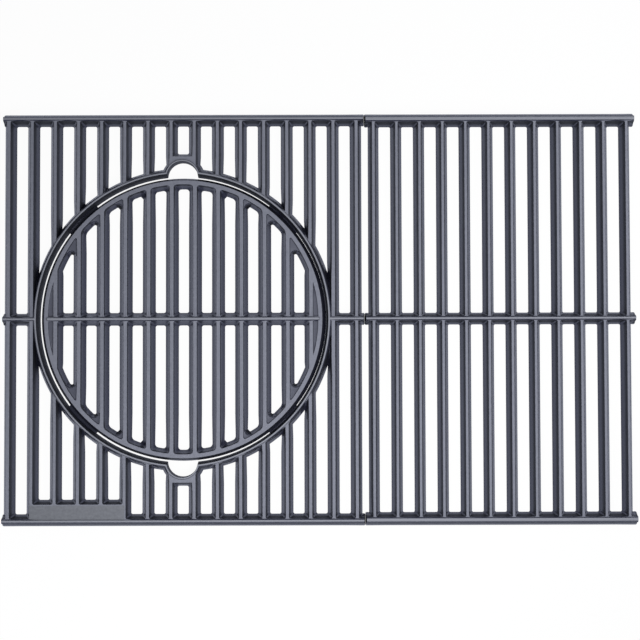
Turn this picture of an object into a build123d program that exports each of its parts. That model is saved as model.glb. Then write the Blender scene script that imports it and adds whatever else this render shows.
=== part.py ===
import os
from math import atan2, degrees

from build123d import *

# Driving dimensions in millimetres. +X runs along the rails, +Y along the bars, +Z up.
# The origin lies under the middle of the whole set, in the plane it rests on.

# Both grates
grate_depth = 420.0  # front rail to back rail, over their bases
bar_height = 14.0  # level of the cooking surface
knee_height = 6.0  # where the broad flank of a bar turns into its thin fin
flank_run = 2.8  # how far the flank spreads on each side, below the knee
fin_run = 1.2  # how far the fin spreads on each side, above the knee
rail_base = 12.4  # width of a cross rail at its foot
ridge_rise = 2.0  # how far a rail's ridge stands above the bars
ridge_run = 1.45  # how far the ridge spreads on each side, above the bars
end_draft = 1.2  # how far a rail's end leans in from foot to crest
end_round = 1.5  # rounding of a rail's end, seen from above

# Left grate
left_bars = 16
left_pitch = 23.53
left_bar_base = 11.8
left_outer_nub = 0.8  # how far a rail's end stands past the first bar
left_seam_nub = 2.6  # the same past the last bar, at the seam
plate_depth = 16.8  # front rail's middle to the back edge of the bare plate
plate_first_slot = 1  # the plate closes these openings between bars
plate_last_slot = 4

# Right grate
right_bars = 12
right_pitch = 23.4
right_bar_base = 11.0
right_rail_base = 13.6  # its front and back rails are broader
right_nub = 3.6  # how far a rail's end stands past the end bars

seam_gap = 0.1  # between the rail ends of the two grates

# Round opening in the left grate
opening_radius = 145.5  # at the foot
opening_draft = 2.4  # how far its wall leans out from foot to lip
lip_width = 1.5  # the ring's thin upper edge, as high as the ridges
notch_radius = 15.3  # finger notch, at the foot
notch_inset = 1.0  # how far a notch's middle lies inside the opening's wall
notch_draft = 0.5
notch_lip = 1.2
web_reach = 169.5  # ring's middle to the foot of the opening behind each notch

# Ledges that carry the round insert
tab_count = 4
tab_width = 39.0
tab_reach = 8.8  # from the wall's foot to the inner edge
tab_height = 3.5
tab_root = 3.0  # how deep a ledge is rooted in the ring

# Round insert
insert_gap = 1.5  # between the insert and the foot of the opening's wall
insert_shift = 0.6 * insert_gap  # it lies against the right of its clearance
insert_bar_base = 12.8
insert_rail_base = 13.2
insert_knee_rise = 4.5  # from its foot to the knee of its bars
insert_flank_run = 3.0
insert_fin_run = 1.3
insert_ridge_run = 1.3
rim_flank_run = 2.0
rim_fin_run = 1.0
rim_top = 4.2  # width of the rim's upper edge
end_web_rise = 8.8  # from its foot to the web that closes each end, outside the end bars

overshoot = 1.0  # how far a cut runs past the face it opens

# Places that follow from the sizes above
left_span = (left_bars - 1) * left_pitch + left_bar_base
right_span = (right_bars - 1) * right_pitch + right_bar_base
left_length = left_outer_nub + left_span + left_seam_nub
right_length = right_span + 2 * right_nub
set_length = left_length + seam_gap + right_length
left_rail_middle = (left_length - set_length) / 2
left_middle = left_rail_middle + (left_outer_nub - left_seam_nub) / 2
right_middle = (set_length - right_length) / 2
crest_height = bar_height + ridge_rise
notch_middle = opening_radius - notch_inset
insert_height = bar_height - tab_height
insert_radius = opening_radius - insert_gap
insert_middle = left_middle + insert_shift
rim_crest = insert_radius - rim_flank_run - rim_fin_run
rim_inside = rim_crest - rim_top
insert_bars = 2 * int(rim_inside / left_pitch + 0.5)  # as many as have room inside the rim
end_bar_reach = (insert_bars - 1) / 2 * left_pitch


def tapered_grid(places, width, foot, knee, flank, fin):
    """Openings between bars, wide at the cooking surface and narrow at the foot.

    Each place is a middle and a length. They are drawn upside down, from the wide end on.
    """
    fin_depth = bar_height - knee
    flank_depth = knee - foot
    fin_angle = degrees(atan2(fin, fin_depth))
    flank_angle = degrees(atan2(flank, flank_depth))
    spread = flank + fin + overshoot * fin / fin_depth
    with BuildPart() as grid:
        for level, growth, depth, angle in (
            (-overshoot, spread, overshoot + fin_depth, fin_angle),
            (fin_depth, flank, flank_depth + overshoot, flank_angle),
        ):
            with BuildSketch(Plane.XY.offset(level)):
                for middle, length in places:
                    with Locations(middle):
                        Rectangle(width + 2 * growth, length + 2 * growth)
            extrude(amount=depth, taper=angle)
    return grid.part.mirror(Plane.XY.offset(bar_height / 2))


def grate_blank(middle, span):
    """The grate before its openings are cut, with the outer flanks of its end bars and rails."""
    fin_depth = bar_height - knee_height
    with BuildPart() as blank:
        for level, shrink, depth, run in (
            (0, 0, knee_height, flank_run),
            (knee_height, flank_run, fin_depth, fin_run),
        ):
            with BuildSketch(Plane.XY.offset(level)):
                with Locations((middle, 0)):
                    Rectangle(span - 2 * shrink, grate_depth - 2 * shrink)
            extrude(amount=depth, taper=degrees(atan2(run, depth)))
    return blank.part


def cross_rail(middle, length, base, foot, knee, flank, fin, ridge):
    """A rail along X with flank, fin and raised ridge, its ends rounded and leaning in."""
    half_side = [
        (base / 2, foot),
        (base / 2 - flank, knee),
        (base / 2 - flank - fin, bar_height),
        (base / 2 - flank - fin - ridge, crest_height),
    ]
    mirrored = [(-y, z) for y, z in reversed(half_side)]
    ends = [
        (middle[0] - length / 2, foot),
        (middle[0] + length / 2, foot),
        (middle[0] + length / 2 - end_draft, crest_height),
        (middle[0] - length / 2 + end_draft, crest_height),
    ]
    with BuildPart() as rail:
        with BuildSketch(Plane.YZ.offset(middle[0])):
            with Locations((middle[1], 0)):
                Polygon(*half_side, *mirrored, align=None)
        extrude(amount=length, both=True)
        with BuildSketch(Plane.XZ.offset(-middle[1])):
            Polygon(*ends, align=None)
        extrude(amount=base, both=True, mode=Mode.INTERSECT)
        with BuildSketch(Plane.XY.offset(foot)):
            with Locations(middle):
                RectangleRounded(length, base, end_round)
        extrude(amount=crest_height - foot, mode=Mode.INTERSECT)
    return rail.part


def cooking_rails(middle, length, outer_base):
    """Back, middle and front rail of a grate."""
    reach = (grate_depth - outer_base) / 2
    return [
        cross_rail((middle, y), length, base, 0, knee_height, flank_run, fin_run, ridge_run)
        for y, base in ((reach, outer_base), (0, rail_base), (-reach, outer_base))
    ]


def slot_places(middle, bars, pitch):
    """Middles of the slots between neighbouring bars, from left to right."""
    return [middle + (slot - bars / 2 + 1) * pitch for slot in range(bars - 1)]


def slot_place(x, near, far):
    """Middle and length of an opening between two distances from the X axis, with their sign."""
    return (x, (near + far) / 2), abs(far - near)


# Openings of the two grates: each slot is cut behind and in front of the middle rail
rail_foot = rail_base / 2
left_slot_end = grate_depth / 2 - rail_base
right_slot_end = grate_depth / 2 - right_rail_base
plate_end = left_slot_end + rail_foot - plate_depth - fin_run - flank_run
left_slots = slot_places(left_middle, left_bars, left_pitch)
right_slots = slot_places(right_middle, right_bars, right_pitch)
notch_slot = (left_bars - 2) // 2

left_places = []
for slot, x in enumerate(left_slots):
    over_plate = plate_first_slot <= slot <= plate_last_slot
    inner_end = web_reach if slot == notch_slot else rail_foot
    front_end = plate_end if over_plate else left_slot_end
    left_places.append(slot_place(x, inner_end, left_slot_end))
    left_places.append(slot_place(x, -inner_end, -front_end))
left_openings = tapered_grid(
    left_places, left_pitch - left_bar_base, 0, knee_height, flank_run, fin_run
)

right_places = []
for x in right_slots:
    right_places.append(slot_place(x, rail_foot, right_slot_end))
    right_places.append(slot_place(x, -rail_foot, -right_slot_end))
right_openings = tapered_grid(
    right_places, right_pitch - right_bar_base, 0, knee_height, flank_run, fin_run
)

# Rings of the left grate, round the opening and its finger notches: place, radius, draft and lip
rings = [
    (0, opening_radius, opening_draft, lip_width),
    (notch_middle, notch_radius, notch_draft, notch_lip),
    (-notch_middle, notch_radius, notch_draft, notch_lip),
]

# Left grate: bars, rails, bare plate, ring with two finger notches, and ledges for the insert
with BuildPart() as left_grate:
    add(grate_blank(left_middle, left_span))
    add(left_openings, mode=Mode.SUBTRACT)
    add(cooking_rails(left_rail_middle, left_length, rail_base))
    for y, radius, draft, lip in rings:
        ridge_edge = left_middle + radius + draft + lip
        with BuildSketch(Plane.XZ.offset(-y)):
            Polygon(
                (left_middle, 0),
                (ridge_edge + ridge_run + fin_run + flank_run, 0),
                (ridge_edge + ridge_run + fin_run, knee_height),
                (ridge_edge + ridge_run, bar_height),
                (ridge_edge, crest_height),
                (left_middle, crest_height),
                align=None,
            )
        revolve(axis=Axis((left_middle, y, 0), (0, 0, 1)))
    for y, radius, draft, lip in rings:
        lean = draft * overshoot / crest_height
        with Locations((left_middle, y, -overshoot)):
            Cone(
                radius - lean,
                radius + draft + lean,
                crest_height + 2 * overshoot,
                align=(Align.CENTER, Align.CENTER, Align.MIN),
                mode=Mode.SUBTRACT,
            )
    with BuildSketch():
        with Locations((left_middle, 0)):
            with PolarLocations(opening_radius - tab_reach, tab_count, start_angle=180 / tab_count):
                Rectangle(tab_reach + tab_root, tab_width, align=(Align.MIN, Align.CENTER))
    extrude(amount=tab_height)

# Right grate: bars and rails only
with BuildPart() as right_grate:
    add(grate_blank(right_middle, right_span))
    add(right_openings, mode=Mode.SUBTRACT)
    add(cooking_rails(right_middle, right_length, right_rail_base))

# Round insert: rim, bars in line with the left grate's, a middle rail and closed ends
insert_knee = tab_height + insert_knee_rise
insert_slots = slot_places(insert_middle, insert_bars + 2, left_pitch)
insert_places = []
for x in insert_slots:
    insert_places.append(slot_place(x, insert_rail_base / 2, insert_radius))
    insert_places.append(slot_place(x, -insert_rail_base / 2, -insert_radius))
insert_openings = tapered_grid(
    insert_places,
    left_pitch - insert_bar_base,
    tab_height,
    insert_knee,
    insert_flank_run,
    insert_fin_run,
)
with BuildPart() as round_insert:
    with Locations((insert_middle, 0, tab_height)):
        Cylinder(
            rim_crest - rim_top / 2,
            insert_height,
            align=(Align.CENTER, Align.CENTER, Align.MIN),
        )
    add(insert_openings, mode=Mode.SUBTRACT)
    with BuildSketch(Plane.XY.offset(tab_height)):
        with Locations((insert_middle, 0)):
            Circle(rim_inside)
            Rectangle(2 * end_bar_reach, 2 * rim_inside, mode=Mode.SUBTRACT)
    extrude(amount=end_web_rise)
    with BuildSketch(Plane.XZ):
        Polygon(
            (insert_middle + rim_inside - insert_fin_run - insert_flank_run, tab_height),
            (insert_middle + insert_radius, tab_height),
            (insert_middle + insert_radius - rim_flank_run, insert_knee),
            (insert_middle + rim_crest, bar_height),
            (insert_middle + rim_inside, bar_height),
            (insert_middle + rim_inside - insert_fin_run, insert_knee),
            align=None,
        )
    revolve(axis=Axis((insert_middle, 0, 0), (0, 0, 1)))
    add(
        cross_rail(
            (insert_middle, 0),
            2 * (rim_inside + rim_top / 2),
            insert_rail_base,
            tab_height,
            insert_knee,
            insert_flank_run,
            insert_fin_run,
            insert_ridge_run,
        )
    )

os.makedirs("parts", exist_ok=True)
left_grate.part.label = "left_grate"
right_grate.part.label = "right_grate"
round_insert.part.label = "round_insert"
export_step(left_grate.part, "parts/left_grate.step")
export_step(right_grate.part, "parts/right_grate.step")
export_step(round_insert.part, "parts/round_insert.step")
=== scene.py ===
from dataclasses import dataclass
from math import atan2, cos, hypot, pi, radians, sin, sqrt

import bmesh
import bpy
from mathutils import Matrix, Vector


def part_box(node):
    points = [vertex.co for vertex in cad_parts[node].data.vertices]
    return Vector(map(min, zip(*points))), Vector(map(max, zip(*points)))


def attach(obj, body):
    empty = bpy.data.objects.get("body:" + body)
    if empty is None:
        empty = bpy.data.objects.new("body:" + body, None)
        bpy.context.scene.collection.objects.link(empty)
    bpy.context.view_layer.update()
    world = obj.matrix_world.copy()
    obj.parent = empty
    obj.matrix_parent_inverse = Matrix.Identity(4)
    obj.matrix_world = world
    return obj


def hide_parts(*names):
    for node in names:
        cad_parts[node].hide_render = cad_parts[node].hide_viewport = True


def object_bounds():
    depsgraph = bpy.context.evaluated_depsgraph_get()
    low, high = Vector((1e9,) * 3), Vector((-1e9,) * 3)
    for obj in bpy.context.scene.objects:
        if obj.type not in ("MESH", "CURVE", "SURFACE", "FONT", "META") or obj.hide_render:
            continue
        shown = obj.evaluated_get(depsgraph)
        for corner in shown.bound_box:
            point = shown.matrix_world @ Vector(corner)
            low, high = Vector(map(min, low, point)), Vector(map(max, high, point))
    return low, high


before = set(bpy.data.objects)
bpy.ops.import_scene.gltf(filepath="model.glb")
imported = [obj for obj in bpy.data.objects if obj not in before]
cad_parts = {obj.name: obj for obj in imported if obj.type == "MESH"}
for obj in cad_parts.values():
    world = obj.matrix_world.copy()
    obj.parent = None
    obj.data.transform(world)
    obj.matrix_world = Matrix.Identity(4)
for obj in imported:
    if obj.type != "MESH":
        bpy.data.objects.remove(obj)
cad_low, cad_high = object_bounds()


@dataclass
class Grille:
    """The bars of one casting, side by side along X. Sizes in metres."""

    node: str
    middle: float
    bars: int
    pitch: float
    foot: float  # width of a bar at its foot
    lean: float  # how far each of its sides leans in, from foot to top
    draw: float  # how far the left edge of its top is drawn in
    cuts: list  # where cuts run across the bars, both ways from the X axis

    @property
    def slot(self):
        """Width of a slot between the feet of two bars."""
        return self.pitch - self.foot

    @property
    def mouth(self):
        """Width of a slot between the tops of two bars."""
        return self.slot + 2 * self.lean

    @property
    def slot_middles(self):
        """Where the slots between neighbouring bars have their middles, along X."""
        steps = [slot + 1 - self.bars / 2 for slot in range(self.bars - 1)]
        return [self.middle + step * self.pitch for step in steps]

    def holds(self, place):
        """Whether a place lies between the first bar and the last."""
        return abs(place.x - self.middle) < (self.bars - 1) / 2 * self.pitch


# Castings
GRATE_CUTS = [0.021, 0.042, 0.0585, 0.079, 0.102, 0.121, 0.135, 0.166, 0.177]
INSERT_CUTS = [0.0222, 0.0445, 0.0675, 0.0965]
INSERT_SHIFT = 0.0009  # the insert lies this far to the right of the ring's middle
LEFT = Grille(
    node="left_grate",
    middle=-0.13875,
    bars=16,
    pitch=0.02353,
    foot=0.0118,
    lean=0.004,
    draw=0.0005,
    cuts=GRATE_CUTS,
)
RIGHT = Grille(
    node="right_grate",
    middle=0.184125,
    bars=12,
    pitch=0.0234,
    foot=0.011,
    lean=0.004,
    draw=0.0002,
    cuts=GRATE_CUTS,
)
INSERT = Grille(
    node="round_insert",
    middle=LEFT.middle + INSERT_SHIFT,
    bars=12,
    pitch=LEFT.pitch,
    foot=0.0128,
    lean=0.0043,
    draw=0.0004,
    cuts=INSERT_CUTS,
)
BAR_TOP = 0.014
FOOT_FLARE = 0.00045  # how far a bar's foot flares into each slot beside it
RING_FOOT = 0.157  # radius of the ring's foot and a little more
NOTCH_MIDDLE, NOTCH_FOOT = 0.1445, 0.0245
RAIL_ENDS = [corner.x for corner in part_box("left_grate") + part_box("right_grate")]
RAIL_END_ROUND = 0.0018
INSERT_RAIL = 0.02  # corners nearer to the X axis belong to the insert's rail
INSERT_OPEN = 0.118  # the insert's ends are closed farther out than this
RIM_FOOT = 0.1325  # inner radius of the rim's foot
RIM_CORE = 0.139  # a radius inside the rim
RIM_FLANK, RIM_RADIUS = 0.1415, 0.144  # a radius just inside the rim's outer flank, and its foot
RIM_FLARE = 0.00085  # how far that flank spreads on the left and right
NEAR = 0.0008  # corners this near to a wall belong to it
WELD = 0.00002  # corners closer than this are one corner

# Fillets and rounded edges
LEFT_ROUND, RIGHT_ROUND, INSERT_ROUND = 0.0015, 0.0013, 0.0017  # where bars meet rails
RIM_ROUND = 0.0026  # where the insert's bars meet its rim
CORNER_STEPS = 4
CORNER_ANGLE = radians(35)
CORNER_RISE = 0.6  # a slot's corner rises by more than this share of its length
EDGE_ROUND = 0.00045
EDGE_STEPS = 2
EDGE_ANGLE = radians(22)  # flatter edges than this belong to a curved wall
SMOOTH_ANGLE = radians(40)
FLAT_ANGLE = radians(0.3)

# Gussets in the sharp corners between the insert's bars and its rim
GUSSET_BARS = [0.0588, 0.0824, 0.1059]  # distance of these bars from the insert's middle
GUSSET_ROUND = 0.0016
GUSSET_STEPS = 10
GUSSET_LEVELS = [(0.0038, 0.0), (0.008, 0.003), (0.0123, 0.0039)]  # height, and how far it stands back

# Enamel. Where a face has two colours, they are mixed in patches or specks.
# Steep sides and flanks are painted darker than the tops as painted shade, and the steep sides darkest
# of all.
SHADED_STEEP_SIDE = (0.012, 0.013, 0.018, 1)
SHADED_FLANK = (0.020, 0.021, 0.036, 1), (0.030, 0.032, 0.053, 1)
# The tops and the flat plate are painted paler than the sides, as painted light from above.
LIT_TOP = (0.144, 0.150, 0.184, 1), (0.218, 0.227, 0.272, 1)
LIT_PLATE = (0.100, 0.104, 0.118, 1), (0.192, 0.200, 0.221, 1)
# A painted highlight along the crests of the ridges and lips.
CREST_HIGHLIGHT = (0.225, 0.233, 0.267, 1)
FLANK_FACING = (0.24, 0.38)  # steep sides face up less than this, and flanks more
TOP_HEIGHT, TOP_FACING = (0.0113, 0.0138), (0.62, 0.92)
CREST_HEIGHT, CREST_FACING = (0.0152, 0.0158), (0.5, 0.9)
PLATE_X, PLATE_Y = (-0.2932, -0.1968), (-0.2035, -0.1880)  # borders of the flat plate
PLATE_SOFT = 0.0008
GRAIN, SPECKLE, MOTTLE = (1100.0, 3.0), (350.0, 3.0), (70.0, 4.0)  # scale and detail
SIDE_ROUGH, FLANK_SMOOTHER, TOP_ROUGHER, MOTTLE_ROUGHER = 0.66, 0.44, 0.26, 0.1
BUMP_STRENGTH, BUMP_DEPTH, BUMP_MOTTLE = 0.35, 0.0002, 0.6
SHINE, SHINE_TINT = 0.42, (0.82, 0.86, 1, 1)

# White sheet
SHEET_SIZE = 30.0
SHEET_LAP = 0.0001  # it laps this far over the feet, so that the two never coincide
SHEET_LIGHTING = (0.43, 0.44, 0.48, 1)  # as it throws light back on the grate
SHEET_SEEN = (0.96, 0.96, 0.97, 1)
GLOW_MIRRORED, GLOW_SEEN = (0.80, 0.84, 1, 1), (1, 1, 1, 1)
SEEN_SHARE = 0.95  # share of the glow where the sheet is seen; the rest shows the shadow

# Studio, and a camera that looks almost straight down from a little towards the front
STUDIO, STUDIO_LIGHT = (0.92, 0.95, 1, 1), 0.32
LAMP_PLACE, LAMP_SIZE, LAMP_POWER = (0.13, -0.16, 0.62), (1.4, 0.3), 6.0
CAMERA_PLACE = (-0.00162, -0.0627, 1.6)
CAMERA_TURN = (0.03853, -0.00138, -0.00272)
LENS, SENSOR = 88.19, 36.0


class Socket:
    """One output of a node. Sums written on it add Math nodes to its tree."""

    def __init__(self, finish, output):
        self.finish = finish
        self.output = output

    def math(self, operation, first, second):
        return self.finish.node("ShaderNodeMath", {"operation": operation}, {0: first, 1: second})

    def __add__(self, other):
        return self.math("ADD", self, other)

    def __sub__(self, other):
        return self.math("SUBTRACT", self, other)

    def __rsub__(self, other):
        return self.math("SUBTRACT", other, self)

    def __mul__(self, other):
        return self.math("MULTIPLY", self, other)

    __radd__ = __add__
    __rmul__ = __mul__


class Finish:
    """A material or world that is built up from nodes."""

    def __init__(self, owner):
        self.owner = owner
        owner.use_nodes = True
        self.tree = owner.node_tree
        self.tree.nodes.clear()

    def node(self, kind, settings=None, sockets=None, output=0):
        """Adds a node: its settings first, then the values or links of its sockets."""
        made = self.tree.nodes.new(kind)
        for name, value in (settings or {}).items():
            setattr(made, name, value)
        for name, value in (sockets or {}).items():
            if isinstance(value, Socket):
                self.tree.links.new(value.output, made.inputs[name])
            else:
                made.inputs[name].default_value = value
        return Socket(self, made.outputs[output]) if made.outputs else None

    def blend(self, factor, first, second):
        """Mixes two colours, which go into sockets 6 and 7 of a Mix node."""
        return self.node(
            "ShaderNodeMix", {"data_type": "RGBA"}, {0: factor, 6: first, 7: second}, output=2
        )

    def ramp(self, value, low, high):
        """0 below low and 1 above high, with a smooth step between."""
        return self.node(
            "ShaderNodeMapRange",
            {"interpolation_type": "SMOOTHSTEP"},
            {"Value": value, "From Min": low, "From Max": high},
        )

    def band(self, value, low, high, soft):
        """1 between low and high, with soft borders."""
        above = self.ramp(value, low - soft, low + soft)
        below = 1 - self.ramp(value, high - soft, high + soft)
        return above * below

    def noise(self, place, scale, detail):
        return self.node(
            "ShaderNodeTexNoise", sockets={"Vector": place, "Scale": scale, "Detail": detail}
        )

    def part(self, vector, axis):
        """The X, Y or Z part of a vector."""
        return self.node("ShaderNodeSeparateXYZ", sockets={"Vector": vector}, output=axis)


def enamelled_iron():
    """Dark enamel on rough cast iron, with painted light and shade: steep sides painted darkest as
    shade, tops painted paler as light from above, and a painted highlight along the ridges.
    """
    finish = Finish(bpy.data.materials.new("enamelled_iron"))
    place = finish.node("ShaderNodeTexCoord", output="Object")
    height = finish.part(place, "Z")
    facing = finish.part(finish.node("ShaderNodeNewGeometry", output="Normal"), "Z")
    grain = finish.noise(place, *GRAIN)
    speckle = finish.noise(place, *SPECKLE)
    mottle = finish.noise(place, *MOTTLE)
    along_plate = finish.band(finish.part(place, "X"), *PLATE_X, PLATE_SOFT)
    plate = along_plate * finish.band(finish.part(place, "Y"), *PLATE_Y, PLATE_SOFT)
    leaning = finish.ramp(facing, *FLANK_FACING)
    # painted light: high faces that face up take the paler top colour
    upper = finish.ramp(height, *TOP_HEIGHT) * finish.ramp(facing, *TOP_FACING)
    # painted highlight on the crests of the ridges
    crest_highlight = finish.ramp(height, *CREST_HEIGHT) * finish.ramp(facing, *CREST_FACING)
    lit_top = finish.blend(plate, finish.blend(speckle, *LIT_TOP), finish.blend(speckle, *LIT_PLATE))
    # painted shade by facing: steep sides darkest, leaning flanks a little less dark, in patches
    colour = finish.blend(leaning, SHADED_STEEP_SIDE, finish.blend(mottle, *SHADED_FLANK))
    # the paler top colour is painted light from above
    colour = finish.blend(upper, colour, lit_top)
    colour = finish.blend(crest_highlight, colour, CREST_HIGHLIGHT)
    roughness = SIDE_ROUGH - leaning * FLANK_SMOOTHER + upper * TOP_ROUGHER
    roughness = roughness + mottle * MOTTLE_ROUGHER
    bump = finish.node(
        "ShaderNodeBump",
        sockets={
            "Strength": BUMP_STRENGTH,
            "Distance": BUMP_DEPTH,
            "Height": grain + mottle * BUMP_MOTTLE,
        },
    )
    shader = finish.node(
        "ShaderNodeBsdfPrincipled",
        sockets={
            "Base Color": colour,
            "Roughness": roughness,
            "Normal": bump,
            "Specular IOR Level": SHINE,
            "Specular Tint": SHINE_TINT,
        },
    )
    finish.node("ShaderNodeOutputMaterial", sockets={"Surface": shader})
    return finish.owner


def white_sheet():
    """White paper under the grate: almost plain white where it is seen, with a faint shadow."""
    finish = Finish(bpy.data.materials.new("white_sheet"))
    camera = finish.node("ShaderNodeLightPath", output="Is Camera Ray")
    glossy = finish.node("ShaderNodeLightPath", output="Is Glossy Ray")
    through = finish.node("ShaderNodeLightPath", output="Is Transmission Ray")
    paper_tint = finish.blend(camera, SHEET_LIGHTING, SHEET_SEEN)
    paper = finish.node("ShaderNodeBsdfDiffuse", sockets={"Color": paper_tint})
    glow_tint = finish.blend(camera, GLOW_MIRRORED, GLOW_SEEN)
    glow = finish.node("ShaderNodeEmission", sockets={"Color": glow_tint})
    share = camera * SEEN_SHARE + (glossy + through)
    shader = finish.node("ShaderNodeMixShader", sockets={0: share, 1: paper, 2: glow})
    finish.node("ShaderNodeOutputMaterial", sockets={"Surface": shader})
    return finish.owner


def slice_flats(grille):
    """Cuts the open mesh along each slot and across the bars, so that its flat faces stay small."""
    cuts = [((x, 0, 0), (1, 0, 0)) for x in grille.slot_middles]
    cuts += [((0, side * y, 0), (0, 1, 0)) for y in grille.cuts for side in (1, -1)]
    for place, across in cuts:
        bpy.ops.mesh.select_all(action="SELECT")
        bpy.ops.mesh.bisect(plane_co=place, plane_no=across)
        bpy.ops.mesh.mark_seam()


def select_corners(piece, wanted):
    """Selects the corners of the open mesh at the places that the given test picks."""
    bpy.ops.mesh.select_mode(type="VERT")
    bpy.ops.mesh.select_all(action="DESELECT")
    mesh = bmesh.from_edit_mesh(piece.data)
    for corner in mesh.verts:
        if wanted(corner.co):
            corner.select_set(True)
    bmesh.update_edit_mesh(piece.data)


def select_edges(piece, wanted):
    """Selects the edges of the open mesh that the given test picks."""
    bpy.ops.mesh.select_mode(type="EDGE")
    bpy.ops.mesh.select_all(action="DESELECT")
    mesh = bmesh.from_edit_mesh(piece.data)
    for edge in mesh.edges:
        if len(edge.link_faces) == 2 and wanted(edge):
            edge.select_set(True)
    bmesh.update_edit_mesh(piece.data)


def beside_ring(place):
    """Whether a place is clear of the left grate's ring and its notches."""
    clear_of_ring = hypot(place.x - LEFT.middle, place.y) > RING_FOOT
    clear_of_notch = hypot(place.x - LEFT.middle, abs(place.y) - NOTCH_MIDDLE) > NOTCH_FOOT
    return clear_of_ring and clear_of_notch


def inside_rim(place):
    """Whether a place is clear of the insert's rim, on its inside."""
    return hypot(place.x - INSERT.middle, place.y) < RIM_FOOT - NEAR


def in_rim_flank(place):
    """Whether a place lies in the outer flank of the insert's rim."""
    return hypot(place.x - INSERT.middle, place.y) > RIM_FLANK


def anywhere(place):
    """Any place is clear on the right grate, which has no ring."""
    return True


def flare_feet(piece, grille, clear):
    """Draws the foot of each slot in along X, which spreads the bars at their feet."""
    lowest = min(corner.co.z for corner in bmesh.from_edit_mesh(piece.data).verts)
    reach = grille.slot / 2 + NEAR
    share = 1 - 2 * FOOT_FLARE / grille.slot
    for middle in grille.slot_middles:

        def in_foot(place):
            return place.z < lowest + WELD and abs(place.x - middle) < reach and clear(place)

        select_corners(piece, in_foot)
        bpy.ops.transform.resize(value=(share, 1, 1), center_override=(middle, 0, 0))


def draw_tops(piece, grille, clear):
    """Draws in the left edge of each bar's top, which narrows the flat strip along it."""
    left_edges = [middle + grille.mouth / 2 for middle in grille.slot_middles]

    def on_left_edge(place):
        at_top = abs(place.z - BAR_TOP) < WELD
        return at_top and any(abs(place.x - edge) < WELD for edge in left_edges) and clear(place)

    select_corners(piece, on_left_edge)
    bpy.ops.transform.translate(value=(grille.draw, 0, 0))


def spread_rim(piece):
    """Spreads the outer flank of the insert's rim along X, almost to the ring on the right."""
    select_corners(piece, in_rim_flank)
    bpy.ops.transform.resize(
        value=(1 + RIM_FLARE / RIM_RADIUS, 1, 1), center_override=(INSERT.middle, 0, 0)
    )


def edge_middle(edge):
    return (edge.verts[0].co + edge.verts[1].co) / 2


def slot_corner(edge):
    """Whether an edge is an inner corner that runs up the wall of a slot."""
    run = edge.verts[1].co - edge.verts[0].co
    return edge.calc_face_angle_signed() < -CORNER_ANGLE and abs(run.z) > CORNER_RISE * run.length


def left_corner(edge):
    """Whether an edge is a slot corner of the left grate, clear of the ring and its notches."""
    place = edge_middle(edge)
    return LEFT.holds(place) and beside_ring(place) and slot_corner(edge)


def right_corner(edge):
    """Whether an edge is a slot corner of the right grate."""
    return RIGHT.holds(edge_middle(edge)) and slot_corner(edge)


def insert_rail_corner(edge):
    """Whether an edge is a slot corner beside the insert's middle rail."""
    place = edge_middle(edge)
    in_open_slot = abs(place.x - INSERT.middle) < INSERT_OPEN + INSERT.pitch / 2
    return abs(place.y) < INSERT_RAIL and in_open_slot and slot_corner(edge)


def insert_rim_corner(edge):
    """Whether an edge is a slot corner at the insert's rim."""
    place = edge_middle(edge)
    in_open_slot = abs(place.x - INSERT.middle) < INSERT_OPEN
    return abs(place.y) > INSERT_RAIL and in_open_slot and slot_corner(edge)


def cast_edge(edge):
    """Whether an outer edge gets rounded, as all do but the small ones at a rail's end."""
    at_end = any(
        all(abs(corner.co.x - end) < RAIL_END_ROUND for corner in edge.verts) for end in RAIL_ENDS
    )
    return not at_end and edge.calc_face_angle_signed() > EDGE_ANGLE


def casting(grille, clear, fillets, finish, gussets=None):
    """A copy of a grate piece with filleted corners and rounded edges, which stands for it."""
    bpy.ops.object.select_all(action="DESELECT")
    piece = bpy.data.objects.new(f"{grille.node}_casting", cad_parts[grille.node].data.copy())
    bpy.context.scene.collection.objects.link(piece)
    piece.select_set(True)
    bpy.context.view_layer.objects.active = piece
    bpy.ops.object.mode_set(mode="EDIT")
    bpy.ops.mesh.select_mode(type="EDGE")
    bpy.ops.mesh.select_all(action="SELECT")
    bpy.ops.mesh.remove_doubles(threshold=WELD)
    slice_flats(grille)
    bpy.ops.mesh.select_all(action="SELECT")
    bpy.ops.mesh.remove_doubles(threshold=WELD)
    bpy.ops.mesh.dissolve_limited(angle_limit=FLAT_ANGLE, delimit={"SEAM"})
    flare_feet(piece, grille, clear)
    draw_tops(piece, grille, clear)
    if gussets:
        spread_rim(piece)
    for corner, size in fillets:
        select_edges(piece, corner)
        bpy.ops.mesh.bevel(offset=size, segments=CORNER_STEPS, affect="EDGES", clamp_overlap=False)
    select_edges(piece, cast_edge)
    bpy.ops.mesh.bevel(offset=EDGE_ROUND, segments=EDGE_STEPS, affect="EDGES", clamp_overlap=False)
    bpy.ops.object.mode_set(mode="OBJECT")
    if gussets:
        gussets.select_set(True)
        bpy.ops.object.join()
    bpy.ops.object.shade_smooth_by_angle(angle=SMOOTH_ANGLE)
    bpy.ops.object.modifier_add(type="WEIGHTED_NORMAL")
    piece.modifiers[-1].keep_sharp = True
    bpy.ops.object.modifier_apply(modifier=piece.modifiers[-1].name)
    piece.data.materials.clear()
    piece.data.materials.append(finish)
    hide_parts(grille.node)
    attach(piece, "root")


def gusset_outline(bar, height, stand_back):
    """A corner inside the casting, then an arc that touches the rim's wall and the bar's."""
    middle_x = bar + INSERT.foot / 2 + GUSSET_ROUND
    middle_y = sqrt((RIM_FOOT - GUSSET_ROUND) ** 2 - middle_x**2)
    radius = GUSSET_ROUND + stand_back
    start = atan2(middle_y, middle_x)
    turns = [start + (pi - start) * step / GUSSET_STEPS for step in range(GUSSET_STEPS + 1)]
    arc = [
        Vector((middle_x + radius * cos(turn), middle_y + radius * sin(turn), height))
        for turn in turns
    ]
    return [Vector((bar, sqrt(RIM_CORE**2 - bar**2), height))] + arc


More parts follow.
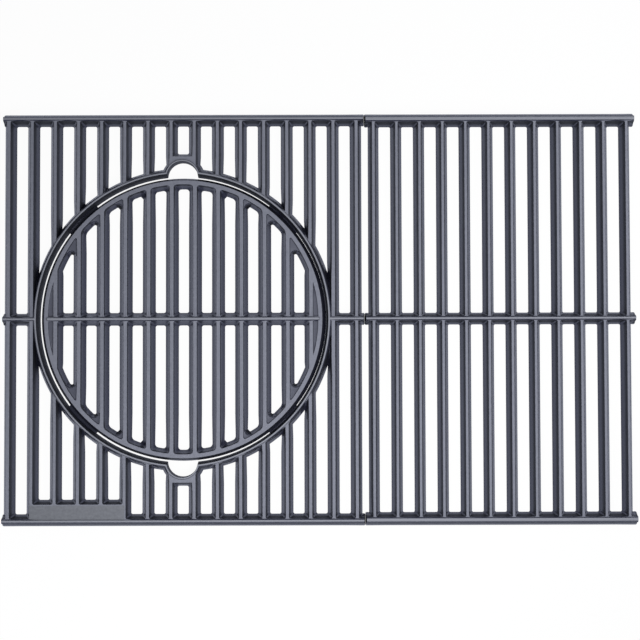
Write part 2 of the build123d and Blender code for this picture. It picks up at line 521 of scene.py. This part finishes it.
def gusset(bar):
    """A wedge that rounds the slot off where a bar runs into the rim at a sharp angle."""
    outlines = [gusset_outline(bar, height, stand_back) for height, stand_back in GUSSET_LEVELS]
    bpy.ops.mesh.primitive_circle_add(
        vertices=len(outlines[0]), fill_type="NGON", location=(INSERT.middle, 0, 0)
    )
    piece = bpy.context.object
    bpy.ops.object.mode_set(mode="EDIT")
    mesh = bmesh.from_edit_mesh(piece.data)
    for corner, place in zip(mesh.verts, outlines[0]):
        corner.co = place
    for below, outline in zip(outlines, outlines[1:]):
        bpy.ops.mesh.extrude_region_move()
        mesh = bmesh.from_edit_mesh(piece.data)
        for corner in mesh.verts:
            if corner.select:
                distances = [(place - corner.co).length for place in below]
                corner.co = outline[distances.index(min(distances))]
    bpy.ops.mesh.select_all(action="SELECT")
    bpy.ops.mesh.normals_make_consistent(inside=False)
    bpy.ops.object.mode_set(mode="OBJECT")
    return piece


def rim_gussets():
    """The gussets of one quarter of the insert, mirrored to the other three."""
    bpy.ops.object.select_all(action="DESELECT")
    quarter = [gusset(bar) for bar in GUSSET_BARS]
    for piece in quarter:
        piece.select_set(True)
    bpy.ops.object.join()
    bpy.ops.object.mode_set(mode="EDIT")
    for direction in ("POSITIVE_X", "POSITIVE_Y"):
        bpy.ops.mesh.select_all(action="SELECT")
        bpy.ops.mesh.symmetrize(direction=direction)
    bpy.ops.object.mode_set(mode="OBJECT")
    bpy.ops.object.transform_apply(location=True, rotation=False, scale=False)
    return bpy.context.object


def lay_floor():
    bpy.ops.mesh.primitive_plane_add(size=SHEET_SIZE, location=(0, 0, cad_low.z + SHEET_LAP))
    floor = bpy.context.object
    floor.name = "floor"
    floor.data.materials.append(white_sheet())


def light_studio():
    world = Finish(bpy.data.worlds.new("studio"))
    background = world.node(
        "ShaderNodeBackground", sockets={"Color": STUDIO, "Strength": STUDIO_LIGHT}
    )
    world.node("ShaderNodeOutputWorld", sockets={"Surface": background})
    bpy.context.scene.world = world.owner
    bpy.ops.object.light_add(type="AREA", location=LAMP_PLACE)
    lamp = bpy.context.object
    lamp.name = "overhead_softbox"
    lamp.data.shape = "RECTANGLE"
    lamp.data.size, lamp.data.size_y = LAMP_SIZE
    lamp.data.energy = LAMP_POWER
    lamp.rotation_euler = (-lamp.location).to_track_quat("-Z", "Y").to_euler()


def place_camera():
    bpy.ops.object.camera_add(location=CAMERA_PLACE, rotation=CAMERA_TURN)
    camera = bpy.context.object
    camera.data.lens = LENS
    camera.data.sensor_width = SENSOR
    bpy.context.scene.camera = camera


enamel = enamelled_iron()
casting(LEFT, beside_ring, [(left_corner, LEFT_ROUND)], enamel)
casting(RIGHT, anywhere, [(right_corner, RIGHT_ROUND)], enamel)
insert_fillets = [(insert_rail_corner, INSERT_ROUND), (insert_rim_corner, RIM_ROUND)]
casting(INSERT, inside_rim, insert_fillets, enamel, rim_gussets())
lay_floor()
light_studio()
place_camera()
bpy.context.scene.view_settings.view_transform = "Standard"
